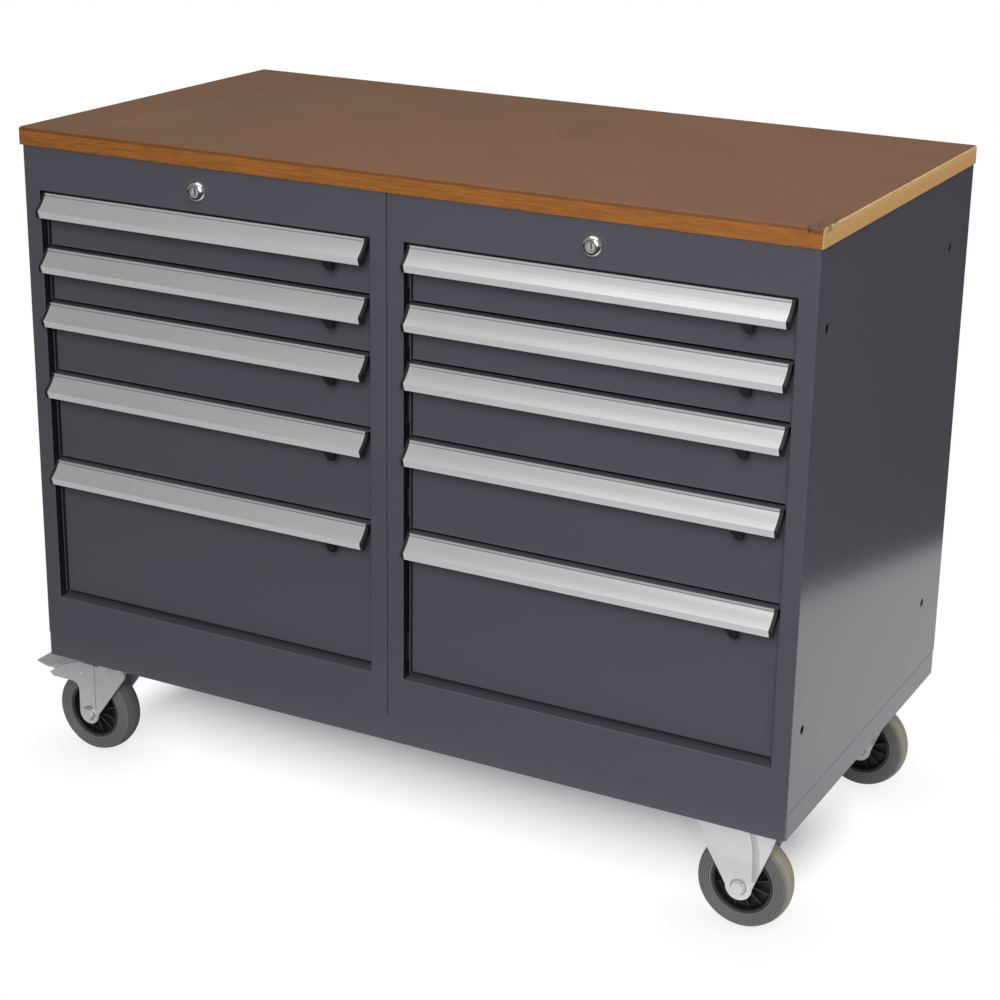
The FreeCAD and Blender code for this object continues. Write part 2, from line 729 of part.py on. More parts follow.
def make_lock_bar(side_name, side):
    """Locking bar: a foot on the cam, an arm along the top rail and a strip down the right post.
    Its own origin is on the lock's axis"""
    depth = (s.post_depth + s.cam_clearance, s.post_depth + s.cam_clearance + s.lock_bar_thickness)
    foot_base = s.cam_radius + s.cam_clearance
    arm_base = foot_base + s.lock_foot
    strip_x = (post_inner + s.steel + 4, post_inner + s.steel + 12)
    arm = block((-4, strip_x[1]), depth, (arm_base, arm_base + s.lock_bar_height))
    foot = prism("xz", [(0, foot_base), (2, foot_base + 2), (2, arm_base), (-2, arm_base), (-2, foot_base + 2)],
                 depth[0], depth[1])
    lowest = s.steel + s.lock_foot * 5 - lock_height
    strip = block(strip_x, depth, (lowest, arm_base))
    lugs = []
    for base, _ in drawer_levels():
        level = base + s.tray_lift + s.slide_rise - lock_height
        lugs.append(block((post_inner + s.steel / 2, strip_x[0]), depth, (level, level + s.lock_bar_height)))
    node(fuse(arm, foot, strip, *lugs), "lock_bar_" + side_name,
         side * s.cabinet_width / 2, front_plane, cabinet_base + lock_height)


# Castors
def make_wheel(name, x, y):
    """Wheel with its tyre moulded on a ribbed rim, turning on the axle bolt"""
    bore = s.axle_radius + s.axle_clearance
    shoulder = s.wheel_radius - s.tyre_crown
    tread = s.tyre_half_width - s.tyre_shoulder
    half = [
        (bore, s.hub_half_width), (s.hub_radius, s.hub_half_width), (s.hub_radius, s.rim_web / 2),
        (s.rim_radius, s.rim_web / 2), (s.rim_radius, s.rim_half_width), (shoulder, s.tyre_half_width),
        (s.wheel_radius, tread)]
    wheel = revolved([(r, -y) for r, y in half] + half[::-1], "Wheel")
    half_rib = s.rib_thickness / 2
    near, far = s.hub_radius - half_rib, s.rim_radius + half_rib
    rib = wheel.newObject("PartDesign::Pad", "Rib")
    rib.Profile = body_sketch(wheel, "XZ_Plane", [(-half_rib, near), (half_rib, near), (half_rib, far), (-half_rib, far)])
    rib.Midplane = True
    bind(rib, Length=s.rib_half_width * 2)
    pattern = wheel.newObject("PartDesign::PolarPattern", "Ribs")
    pattern.Originals = [rib]
    pattern.Axis = ([axis for axis in wheel.Origin.OriginFeatures if axis.Role == "Y_Axis"][0], [""])
    pattern.Angle = 360
    pattern.Occurrences = RIM_RIBS
    wheel.Tip = pattern
    node(wheel, name, x, y, s.wheel_radius)


def axle_bolt(step):
    """Axle along Y through both cheeks, with its head in front and its nut behind on their pressed step"""
    outer = cheek_outer + step
    return [rod("y", s.axle_radius, -outer, outer, 0, s.wheel_radius),
            hexagon("y", s.axle_head_radius, -outer - s.axle_head, -cheek_outer, 0, s.wheel_radius),
            hexagon("y", s.axle_head_radius, cheek_outer, outer + s.axle_head, 0, s.wheel_radius)]


def mounting_plate():
    """Plate of a castor with the heads of its four bolts, seen from its middle on the floor"""
    base = s.castor_height - s.plate_thickness
    plate = block((-s.plate_length / 2, s.plate_length / 2), (-s.plate_width / 2, s.plate_width / 2),
                  (base, s.castor_height))
    return [plate] + [hexagon("z", s.bolt_head_radius, base - s.bolt_head, base, dx, dy) for dx, dy in plate_holes()]


def pressed_cheek(hand, outward):
    """Side of the fixed bracket: upright at the wheel, curving out to the edge of the plate"""
    top = s.castor_height - s.plate_thickness
    rise = top - s.bracket_low
    edge = s.plate_width / 2 + outward
    radii = []
    for start, end in ((cheek_outer, edge), (cheek_inner, edge - s.castor_steel)):
        spread = end - start - outward
        radii.append((spread * spread + rise * rise) / (spread * 2))
    inner, outer = cheek_inner + outward, cheek_outer + outward
    low = s.wheel_radius - s.bracket_foot - s.castor_steel
    corners = [(inner, low), (outer, low), (outer, s.bracket_low, radii[0] * -hand), (edge, top),
               (edge - s.castor_steel, top, radii[1] * hand), (inner, s.bracket_low)]
    return [(hand * corner[0], *corner[1:]) for corner in corners]


def bracket_outline():
    """Front view of the bracket's sides, wider at the plate than at the axle"""
    half_plate = s.plate_length / 2
    top = s.castor_height - s.plate_thickness
    axle, foot = s.wheel_radius, s.bracket_foot
    return prism("xz", [
        (-half_plate, top), (-half_plate + s.bracket_shoulder_in, top - s.bracket_shoulder), (-foot, axle, foot),
        (0, axle - foot, foot), (foot, axle), (half_plate, top),
    ], -s.plate_width, s.plate_width)


def make_castor_brackets():
    """The two fixed castors: a plate with two pressed sides and the axle bolt between them"""
    brackets = []
    half_plate = s.plate_length / 2
    for x, y in castor_places()[2:]:
        sheets = []
        for _, hand in SIDES:
            sheets.append(prism("yz", pressed_cheek(hand, as_size(0)), -half_plate, half_plate))
            sheets.append(prism("yz", pressed_cheek(hand, s.bracket_step), s.bracket_step_x, half_plate))
        sides = common(fuse(*sheets), bracket_outline())
        brackets.append(put(fuse(sides, *mounting_plate(), *axle_bolt(s.bracket_step)), x, y, 0))
    node(group(*brackets), "castor_brackets", 0, front_plane, 0)


def make_swivel_plates():
    """Mounting plates of the two swivel castors with the pressed race and the kingpin"""
    plates = []
    base = s.castor_height - s.plate_thickness
    head_top = s.fork_top - s.castor_steel - s.swivel_clearance
    for x, y in castor_places()[:2]:
        race = doc.addObject("Part::Cone", "Race")
        bind(race, Radius1=s.race_radius - s.castor_steel, Radius2=s.race_radius, Height=s.race_height)
        put(race, 0, 0, base - s.race_height)
        pin = rod("z", s.kingpin_radius, head_top - s.kingpin_head, base)
        head = rod("z", s.kingpin_head_radius, head_top - s.kingpin_head, head_top)
        plates.append(put(fuse(race, pin, head, *mounting_plate()), x, y, 0))
    node(group(*plates), "castor_swivel_plates", 0, front_plane, 0)


def fork_outline(start, end):
    """Side view of the fork: a leg round the axle, the crown round the kingpin and the horn for the brake"""
    top, axle, foot, notch = s.fork_top, s.wheel_radius, s.fork_foot, s.fork_notch
    crown_end = s.swivel_trail + s.race_radius - s.crown_drop
    return prism("xz", [
        (-foot, axle), (-foot, s.horn_height - notch, notch), (-foot - notch, s.horn_height),
        (-s.horn_length + s.horn_tip, s.horn_height), (-s.horn_length, s.horn_height + s.horn_tip),
        (-s.horn_bend, top - s.horn_bend_drop), (-s.crown_start, top), (crown_end, top),
        (crown_end, top - s.crown_drop), (foot, axle, -foot), (0, axle - foot, -foot),
    ], start, end)


def make_fork(name, x, y):
    """Swivel fork with its axle bolt and the pins of the brake. Its own origin is under the axle"""
    top, far = s.fork_top, s.horn_length * 2
    step_outer = cheek_outer + s.fork_step
    stepped = common(fork_outline(-step_outer, step_outer),
                     block((s.fork_step_x, far), (-step_outer, step_outer), (0, top)))
    solid = fuse(fork_outline(-cheek_outer, cheek_outer), stepped)
    hollow = fuse(
        block((-far, far), (-cheek_inner, cheek_inner), (0, top - s.castor_steel)),
        block((-far, -s.crown_start), (-cheek_inner, cheek_inner), (s.horn_height, top + s.castor_steel)))
    race_top = s.castor_height - s.plate_thickness - s.race_height - s.swivel_clearance
    race = rod("z", s.race_radius - s.castor_steel * 2, top - s.castor_steel, race_top, s.swivel_trail, 0)
    bore = rod("z", s.kingpin_radius + s.axle_clearance, s.horn_height, s.castor_height, s.swivel_trail, 0)
    pins = []
    for _, hand in SIDES:
        start, end = span(hand, cheek_inner - s.pedal_arm_gap - s.castor_steel, cheek_outer + s.fork_step)
        pins.append(rod("y", s.brake_pin_radius, start, end, -s.brake_pivot_x, s.brake_pivot_z))
    fork = cut(fuse(cut(solid, hollow), race), bore)
    node(fuse(fork, *axle_bolt(s.fork_step), *pins), name, x, y, 0)


def make_brake_pedal(name, x, y):
    """Brake lever: two arms beside the tyre, a bridge with the brake block and the foot pedal"""
    steel = s.castor_steel
    arm_outer = cheek_inner - s.pedal_arm_gap
    eye, pivot_x, pivot_z = s.brake_eye, -s.brake_pivot_x, s.brake_pivot_z
    top, dip, depth = s.pedal_height, s.brake_dip, s.brake_arm_depth
    outer = -s.pedal_reach
    inner = outer + s.pedal_depth
    arms = []
    for _, hand in SIDES:
        start, end = span(hand, arm_outer - steel, arm_outer)
        arms.append(prism("xz", [
            (pivot_x + eye / 2, pivot_z - eye), (pivot_x + eye, pivot_z), (pivot_x + eye / 2, pivot_z + eye),
            (-s.brake_bridge, top), (-s.brake_bend, top), (inner, top - dip), (inner, top - dip - steel),
            (-s.brake_bend, top - depth), (-s.brake_bridge, top - depth)], start, end))
    bridge = prism("xz", [
        (-s.brake_bridge, top), (-s.brake_bend, top), (inner, top - dip), (inner, top - dip - steel),
        (-s.brake_bend, top - steel), (-s.brake_bridge, top - steel)], -arm_outer, arm_outer)
    pedal = prism("xz", [
        (inner, top - dip), (outer, top), (outer, top - steel), (inner, top - dip - steel),
    ], -s.pedal_width / 2, s.pedal_width / 2)
    near = (s.wheel_radius + s.brake_gap) * math.sqrt(0.5)
    half_shoe = s.brake_shoe / 2
    shoe = prism("xz", [
        (-near + half_shoe, s.wheel_radius + near + half_shoe), (-near - half_shoe, s.wheel_radius + near - half_shoe),
        (-near - half_shoe, top - steel), (-near + half_shoe, top - steel)], -s.tyre_half_width, s.tyre_half_width)
    eyes = rod("y", s.brake_pin_radius + s.axle_clearance, -s.fork_inner, s.fork_inner, pivot_x, pivot_z)
    node(cut(fuse(*arms, bridge, pedal, shoe), eyes), name, x, y, 0)


# Assembly
make_worktop()
make_plinth()
make_slide_rails()
make_lock_collars()
make_castor_brackets()
make_swivel_plates()
for side_name, side in SIDES:
    centre = side * s.cabinet_width / 2
    make_cabinet(side_name, side)
    make_lock_core(side_name, side)
    make_lock_bar(side_name, side)
    for number, (base, height) in enumerate(drawer_levels(), 1):
        tag = "%s_%d" % (side_name, number)
        make_drawer("drawer_" + tag, centre, base, height)
        make_slide_middles("slide_middle_" + tag, centre, base)
        make_handle("handle_" + tag, centre, base + height)
        make_latch("latch_" + tag, centre, base + height)

places = castor_places()
for row, (x, y) in zip(("front", "rear"), places[:2]):
    axle_x = x - s.swivel_trail
    make_fork("fork_%s_left" % row, axle_x, y + front_plane)
    make_brake_pedal("brake_pedal_%s_left" % row, axle_x, y + front_plane)
    make_wheel("wheel_%s_left" % row, axle_x, y + front_plane)
for row, (x, y) in zip(("front", "rear"), places[2:]):
    make_wheel("wheel_%s_right" % row, x, y + front_plane)

doc.recompute()

# Checks and files
for thing in doc.Objects:
    if "Invalid" in thing.State or "Error" in thing.State:
        raise RuntimeError("%s (%s) did not build: %s" % (thing.Name, thing.Label, thing.State))
for thing in nodes:
    if thing.Shape.isNull() or not thing.Shape.isValid():
        raise RuntimeError("%s has no valid shape" % thing.Label)

os.makedirs("parts", exist_ok=True)
for thing in nodes:
    thing.Shape.exportStep("parts/%s.step" % thing.Label)
print("%d sub-parts" % len(nodes))
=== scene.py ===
"""Mobile workbench: wooden top, two drawer cabinets with aluminium handles, plinth and castors."""

import json
import math

import bmesh
import bpy
from bpy.props import FloatProperty, FloatVectorProperty, IntProperty, PointerProperty
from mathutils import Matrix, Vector


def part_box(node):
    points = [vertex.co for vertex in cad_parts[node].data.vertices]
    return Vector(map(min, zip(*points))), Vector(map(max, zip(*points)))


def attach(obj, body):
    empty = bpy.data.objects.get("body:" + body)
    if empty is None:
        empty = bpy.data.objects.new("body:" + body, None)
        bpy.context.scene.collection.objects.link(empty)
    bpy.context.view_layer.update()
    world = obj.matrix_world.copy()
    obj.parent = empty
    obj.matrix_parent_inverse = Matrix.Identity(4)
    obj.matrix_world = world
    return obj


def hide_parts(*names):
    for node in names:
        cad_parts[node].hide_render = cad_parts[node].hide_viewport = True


bl_info = {
    "name": "Mobile Workbench",
    "version": (1, 0, 0),
    "blender": (4, 5, 0),
    "location": "View3D > Sidebar > Workbench",
    "description": "Dresses a mobile workbench with drawers and sets it in a pale studio",
    "category": "Object",
}

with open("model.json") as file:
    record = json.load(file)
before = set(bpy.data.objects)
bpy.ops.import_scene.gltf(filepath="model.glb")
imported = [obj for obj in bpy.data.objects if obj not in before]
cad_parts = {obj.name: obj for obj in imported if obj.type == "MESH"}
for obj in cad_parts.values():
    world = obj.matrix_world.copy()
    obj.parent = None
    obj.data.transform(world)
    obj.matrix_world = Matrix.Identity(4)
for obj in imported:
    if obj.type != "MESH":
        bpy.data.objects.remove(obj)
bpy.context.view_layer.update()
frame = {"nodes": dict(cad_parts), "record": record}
NODES = frame["nodes"]
BODY_OF = {node: body for body, nodes in frame["record"]["behaviour"]["bodies"].items() for node in nodes}
SIDES = ("left", "right")
ROWS = ("front", "rear")
DRAWERS = range(1, 6)
MM = 0.001


# Places read from the frame
def middle(node):
    low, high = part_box(node)
    return (low + high) / 2


def drawer_tags():
    return [f"{side}_{number}" for side in SIDES for number in DRAWERS]


TOP_LOW, TOP_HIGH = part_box("worktop")
COLLAR_LOW, COLLAR_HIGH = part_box("lock_collars")
PLINTH_LOW, PLINTH_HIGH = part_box("plinth")
FRONT = PLINTH_LOW.y
LOCK_HEIGHT = (COLLAR_LOW.z + COLLAR_HIGH.z) / 2
LOCK_LEFT = COLLAR_LOW.x + (COLLAR_HIGH.z - COLLAR_LOW.z) / 2
LOCK_RIGHT = COLLAR_HIGH.x - (COLLAR_HIGH.z - COLLAR_LOW.z) / 2
WHEEL_LOW, WHEEL_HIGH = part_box("wheel_front_right")
RIGHT_WHEEL = middle("wheel_front_right")
LEFT_WHEEL = middle("wheel_front_left")
WHEELS_MIDDLE = (RIGHT_WHEEL.x + LEFT_WHEEL.x) / 2
WHEELS_HALF = (RIGHT_WHEEL.x - LEFT_WHEEL.x) / 2


# Shader maths
class Wire:
    """A socket with arithmetic: an expression on wires adds the Math nodes it needs"""

    def __init__(self, tree, socket):
        self.tree = tree
        self.socket = socket

    def _math(self, operation, *values):
        node = self.tree.nodes.new("ShaderNodeMath")
        node.operation = operation
        for i, value in enumerate(values):
            if isinstance(value, Wire):
                self.tree.links.new(value.socket, node.inputs[i])
            else:
                node.inputs[i].default_value = value
        return Wire(self.tree, node.outputs[0])

    def __add__(self, other):
        return self._math("ADD", self, other)

    def __radd__(self, other):
        return self._math("ADD", other, self)

    def __sub__(self, other):
        return self._math("SUBTRACT", self, other)

    def __rsub__(self, other):
        return self._math("SUBTRACT", other, self)

    def __mul__(self, other):
        return self._math("MULTIPLY", self, other)

    def __rmul__(self, other):
        return self._math("MULTIPLY", other, self)

    def __truediv__(self, other):
        return self._math("DIVIDE", self, other)

    def __rtruediv__(self, other):
        return self._math("DIVIDE", other, self)

    def __gt__(self, other):
        return self._math("GREATER_THAN", self, other)

    def __lt__(self, other):
        return self._math("LESS_THAN", self, other)

    def __abs__(self):
        return self._math("ABSOLUTE", self)

    def near(self, value, reach):
        """1 within reach of a value, else 0"""
        return self._math("COMPARE", self, value, reach)

    def at_least(self, value):
        return self._math("MAXIMUM", self, value)

    def fraction(self):
        return self._math("FRACT", self)

    def zigzag(self, reach):
        """Rises to reach and falls back to 0, again and again"""
        return self._math("PINGPONG", self, reach)

    def distance(self, other):
        """Length of the diagonal over two sides"""
        return self._math("SQRT", self * self + other * other)

    def ramp(self, start, end):
        """0 before start, 1 past end and even in between"""
        node = self.tree.nodes.new("ShaderNodeMapRange")
        node.inputs["From Min"].default_value = start
        node.inputs["From Max"].default_value = end
        self.tree.links.new(self.socket, node.inputs["Value"])
        return Wire(self.tree, node.outputs["Result"])


class Finish:
    """A material with a Principled shader and short ways to add nodes to it"""

    def __init__(self, name):
        self.material = bpy.data.materials.new(name)
        self.material.use_nodes = True
        self.tree = self.material.node_tree
        self.shader = self.tree.nodes["Principled BSDF"]
        self.place = self.node("ShaderNodeTexCoord")["Object"]
        parts = self.node("ShaderNodeSeparateXYZ", Vector=self.place)
        self.x, self.y, self.z = parts["X"], parts["Y"], parts["Z"]

    def feed(self, socket, value):
        """Gives a socket a wire, a number, a vector or a colour"""
        if isinstance(value, Wire):
            self.tree.links.new(value.socket, socket)
        elif socket.type == "RGBA":
            socket.default_value = (*value, 1)
        else:
            socket.default_value = value

    def node(self, kind, settings=None, **values):
        """Adds a node and returns its outputs as wires. Underscores stand for spaces in socket names"""
        made = self.tree.nodes.new(kind)
        for name, value in (settings or {}).items():
            setattr(made, name, value)
        for name, value in values.items():
            self.feed(made.inputs[name.replace("_", " ")], value)
        return {o.name: Wire(self.tree, o) for o in made.outputs if o.enabled}

    def mix(self, factor, first, second):
        """A colour between two colours"""
        made = self.tree.nodes.new("ShaderNodeMix")
        made.data_type = "RGBA"
        for socket, value in zip([i for i in made.inputs if i.enabled], (factor, first, second)):
            self.feed(socket, value)
        return Wire(self.tree, [o for o in made.outputs if o.enabled][0])

    def facing(self):
        """Parts of the surface's direction, as X, Y and Z"""
        return self.node("ShaderNodeSeparateXYZ", Vector=self.node("ShaderNodeNewGeometry")["Normal"])

    def stretched(self, x, y, z):
        """Object coordinates scaled along each axis"""
        return self.node("ShaderNodeMapping", Vector=self.place, Scale=(x, y, z))["Vector"]

    def noise(self, scale, detail=2.0, roughness=0.5, vector=None):
        values = {"Vector": vector or self.place, "Scale": scale, "Detail": detail, "Roughness": roughness}
        return self.node("ShaderNodeTexNoise", **values)["Fac"]

    def bump(self, height, distance, strength=1.0, normal=None):
        values = {"Height": height, "Distance": distance, "Strength": strength}
        if normal:
            values["Normal"] = normal
        return self.node("ShaderNodeBump", **values)["Normal"]

    def set(self, **values):
        """Sets sockets of the shader to numbers, colours or wires"""
        for name, value in values.items():
            self.feed(self.shader.inputs[name.replace("_", " ")], value)


def dress(node, material):
    """Gives a CAD node its material"""
    node.data.materials.clear()
    node.data.materials.append(material)
    for polygon in node.data.polygons:
        polygon.use_smooth = False


# Sizes and colours
class PaintSettings(bpy.types.PropertyGroup):
    """Powder coat of the cabinets, drawers and plinth"""
    colour: FloatVectorProperty(name="Colour", description="Base colour", subtype="COLOR", size=3,
                                default=(0.077, 0.076, 0.092))
    roughness: FloatProperty(name="Roughness", description="Spread of the gloss", default=0.11, min=0, max=1)
    peel: FloatProperty(name="Orange Peel", description="Height of the powder coat's texture", unit="LENGTH",
                        default=0.00003, min=0)


class TopSettings(bpy.types.PropertyGroup):
    """Faced multiplex worktop"""
    face: FloatVectorProperty(name="Face", description="Smooth brown face", subtype="COLOR", size=3,
                              default=(0.149, 0.067, 0.028))
    edge: FloatVectorProperty(name="Edge", description="Oiled plies at the front", subtype="COLOR", size=3,
                              default=(0.29, 0.105, 0.018))
    end: FloatVectorProperty(name="End", description="Oiled plies at the ends", subtype="COLOR", size=3,
                             default=(0.56, 0.36, 0.15))
    ply: FloatProperty(name="Ply", description="Thickness of one ply", unit="LENGTH", default=0.0024,
                       min=0.0005)


class HandleSettings(bpy.types.PropertyGroup):
    """Anodised handle strips and their plastic parts"""
    colour: FloatVectorProperty(name="Aluminium", description="Anodised aluminium", subtype="COLOR", size=3,
                                default=(0.68, 0.68, 0.67))
    cap: FloatProperty(name="Cap", description="Width of a black end cap", unit="LENGTH", default=0.0045)
    inset: FloatProperty(name="Inset", description="Added gap at the left end of a front", unit="LENGTH",
                         default=0.0035)
    plastic: FloatVectorProperty(name="Plastic", description="Caps and latches", subtype="COLOR", size=3,
                                 default=(0.007, 0.007, 0.008))


class CastorSettings(bpy.types.PropertyGroup):
    """Zinc plated castors with rubber tyres"""
    zinc: FloatVectorProperty(name="Zinc", description="Zinc plate", subtype="COLOR", size=3,
                              default=(0.74, 0.75, 0.745))
    rubber: FloatVectorProperty(name="Rubber", description="Tyre walls", subtype="COLOR", size=3,
                                default=(0.085, 0.085, 0.083))
    tread: FloatVectorProperty(name="Tread", description="Dusty tread of the right wheels", subtype="COLOR",
                               size=3, default=(0.26, 0.235, 0.17))
    # the left wheels' tread is a darker copy of the tread colour, painted shade
    shaded_tread: FloatVectorProperty(name="Shaded Tread", description="Tread of the left wheels", subtype="COLOR",
                               size=3, default=(0.1, 0.1, 0.098))
    rings: IntProperty(name="Rings", description="Ridges on each tyre wall", default=5, min=1, max=12)
    ribs: IntProperty(name="Ribs", description="Ribs of a rim", default=12, min=3, max=24)


class StudioSettings(bpy.types.PropertyGroup):
    """Camera of the studio"""
    lens: FloatProperty(name="Lens", description="Focal length in millimetres on a 36 mm frame",
                        default=80.05)
    camera: FloatVectorProperty(name="Camera", description="Camera position", subtype="TRANSLATION", size=3,
                                default=(1.4037, -2.572, 1.4677))
    aim: FloatVectorProperty(name="Aim", description="Camera rotation in degrees about X, Y and Z", size=3,
                             default=(71.4905, -1.0144, 27.6666))
    shift: FloatVectorProperty(name="Shift", description="Lens shift as shares of the frame", size=2,
                               default=(-0.0253, -0.0569))


class WorkbenchSettings(bpy.types.PropertyGroup):
    """Every setting of the workbench"""
    paint: PointerProperty(type=PaintSettings)
    top: PointerProperty(type=TopSettings)
    handle: PointerProperty(type=HandleSettings)
    castor: PointerProperty(type=CastorSettings)
    studio: PointerProperty(type=StudioSettings)


# Finishes
GAP_START, GAP_END = 1.0 * MM, 16.0 * MM  # behind the front, where the posts lie in the shade of the drawers
SKIN = 2.0 * MM
SCRATCH_PLACE, SCRATCH_SLANT, SCRATCH_HALF = 117.0 * MM, 0.103, 0.9 * MM
CHIPPED_DEPTH, CHIPPED_WIDTH, CHIPPED_CORNER = 7.0 * MM, 20.0 * MM, 140.0 * MM
GUIDE_DEPTH = 6.2 * MM
BEAD_DROP = 2.6 * MM
GROOVE_DROP, GROOVE_HALF = 3.1 * MM, 0.5 * MM
BAND_PLACE, BAND_HALF, BAND_RISE = 22.5 * MM, 5.5 * MM, 12.0 * MM  # pressed band, from the wheel's middle
BAND_EDGE = 0.7 * MM
CREASE_PLACE, CREASE_HALF, CREASE_RISE = 13.0 * MM, 0.7 * MM, 8.0 * MM
WASHER_RADIUS, WASHER_HALF = 10.2 * MM, 1.2 * MM
KEY_FACE, KEY_SLOT_HALF, KEY_SLOT_RISE = 7.6 * MM, 1.1 * MM, 4.2 * MM
LOCK_RINGS = ((5.8 * MM, 0.5 * MM), (7.9 * MM, 0.4 * MM))  # radius and half the width of each ring of painted shade
TREAD_START = 59.6 * MM
SHADOW_HALF = 0.49  # the shadow keeps its depth this far to each side


def times(colour, share):
    """A colour made darker or lighter"""
    return tuple(min(1.0, c * share) for c in colour)


def powder_coat(s):
    """Satin blue-grey powder coat with a fine orange peel, and painted shade on the posts beside the drawer
    fronts
    """
    f = Finish("Powder coat")
    peel = f.noise(900, 2)
    sweep = f.noise(3, 2)
    grey = f.mix(sweep * 0.25, tuple(s.colour), times(s.colour, 1.15))
    sideways = abs(f.facing()["X"]) > 0.9
    inside = (f.x > PLINTH_LOW.x + SKIN) * (f.x < PLINTH_HIGH.x - SKIN)
    # painted shade: the post faces in the gap beside the drawer fronts are darkened
    shaded = sideways * inside * (f.y > FRONT + GAP_START) * (f.y < FRONT + GAP_END)
    grey = f.mix(shaded * 0.9, grey, times(s.colour, 0.08))
    f.set(Base_Color=grey, Roughness=s.roughness + 0.06 * (f.noise(40, 3) - 0.5), Normal=f.bump(peel, s.peel))
    return f.material


def multiplex(s):
    """Brown film face with a long scratch, over oiled plies that are chipped along the right end"""
    f = Finish("Multiplex")
    top = TOP_HIGH.z
    fibres = f.noise(60, 6, 0.65, f.stretched(0.5, 14, 14))
    mottle = f.noise(7, 4, 0.6)
    face = f.mix(mottle.ramp(0.3, 0.7), times(s.face, 0.94), times(s.face, 1.06))
    face = f.mix(fibres.ramp(0.45, 0.75) * 0.15, face, times(s.face, 0.8))
    line = (f.x - SCRATCH_SLANT * f.y).near(TOP_LOW.x + SCRATCH_PLACE, SCRATCH_HALF)
    face = f.mix(line * (f.noise(9, 3) > 0.38) * 0.4, face, times(s.face, 2.4))

    waver = f.noise(5, 3) * (1.2 * MM)
    band = ((f.z - TOP_LOW.z + waver) / (2 * s.ply)).zigzag(0.5) * 2
    streaks = f.noise(30, 6, 0.7, f.stretched(1, 1, 9))
    ticks = f.noise(420, 4, 0.7, f.stretched(1, 1, 0.2))
    front = f.mix(streaks.ramp(0.35, 0.7), times(s.edge, 0.72), times(s.edge, 1.25))
    front = f.mix(ticks.ramp(0.5, 0.8) * 0.5, front, times(s.edge, 0.6))
    front = f.mix(band.ramp(0.4, 0.6) * 0.2, front, times(s.edge, 0.7))
    # the front edge is mixed towards dark brown near the top
    darker_near_top = f.z.ramp(top - 6.0 * MM, top - 2.5 * MM)
    front = f.mix(darker_near_top * 0.75, front, (0.075, 0.026, 0.008))

    red, green, blue = s.end
    end = f.mix(band.ramp(0.35, 0.65) * 0.5, tuple(s.end), (red * 0.72, green * 0.6, blue * 0.5))
    end = f.mix(streaks.ramp(0.5, 0.75) * 0.4, end, times(s.end, 1.2))
    golden = f.z.ramp(top - 5.0 * MM, top - 12.0 * MM)
    end = f.mix(golden * 0.5, end, (red * 0.86, green * 0.66, blue * 0.45))

    facing = f.facing()
    edge = f.mix(abs(facing["X"]) > abs(facing["Y"]), front, end)
    corner = f.y.ramp(TOP_LOW.y + CHIPPED_CORNER, TOP_LOW.y)
    crumbs = f.noise(170, 4, 0.8) + 0.12 * corner > 0.63
    chips = crumbs * (f.z > top - CHIPPED_DEPTH) * (f.x > TOP_HIGH.x - CHIPPED_WIDTH)
    ragged = f.z + (f.noise(150, 4, 0.8) - 0.5) * (2.0 * MM)
    film = ragged.ramp(top - 1.2 * MM, top - 0.5 * MM)
    colour = f.mix(film, edge, face)
    colour = f.mix(chips * 0.8, colour, (0.035, 0.02, 0.012))
    relief = f.bump(fibres, 0.12 * MM, 0.5)
    relief = f.bump(band, 0.2 * MM, 0.4, relief)
    f.set(Base_Color=colour, Roughness=0.55 - 0.1 * (mottle - 0.5), Normal=relief, Specular_IOR_Level=0.35)
    return f.material


def anodised(s, name):
    """Satin aluminium strip with draw lines and black end caps. The bead along the top and the lower lip are
    made less metallic as painted highlights, and the groove is darkened as painted shade
    """
    f = Finish("Anodised " + name.replace("_", " "))
    low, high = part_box(name)
    is_cap = (f.x < low.x + s.inset + s.cap) + (f.x > high.x - s.cap)
    is_guide = f.y > high.y - GUIDE_DEPTH
    plastic = is_cap + is_guide - is_cap * is_guide
    drop = high.z - f.z
    groove = drop.near(GROOVE_DROP, GROOVE_HALF)
    lip = f.facing()["Z"] < -0.1
    # painted highlight: the downward faces of the lip and the bead along the top lose metal so they read
    # lighter
    pale = 0.65 * lip + 0.3 * (drop < BEAD_DROP)
    lines = f.noise(260, 3, 0.6, f.stretched(0.01, 6, 6))
    colour = f.mix(lines, times(s.colour, 0.94), times(s.colour, 1.04))
    # painted shade: the groove is darkened
    colour = f.mix(groove * 0.6, colour, times(s.colour, 0.3))
    f.set(Base_Color=f.mix(plastic, colour, tuple(s.plastic)), Metallic=(1 - plastic) * (0.85 - pale),
          Roughness=0.42 + 0.1 * (lines - 0.5), Normal=f.bump(lines, 0.03 * MM, 0.5))
    return f.material


def moulded_black(s):
    """Fine-grained black plastic"""
    f = Finish("Black plastic")
    grain = f.noise(1500, 2)
    f.set(Base_Color=f.mix(grain, tuple(s.plastic), times(s.plastic, 1.6)), Roughness=0.4,
          Normal=f.bump(grain, 0.04 * MM))
    return f.material


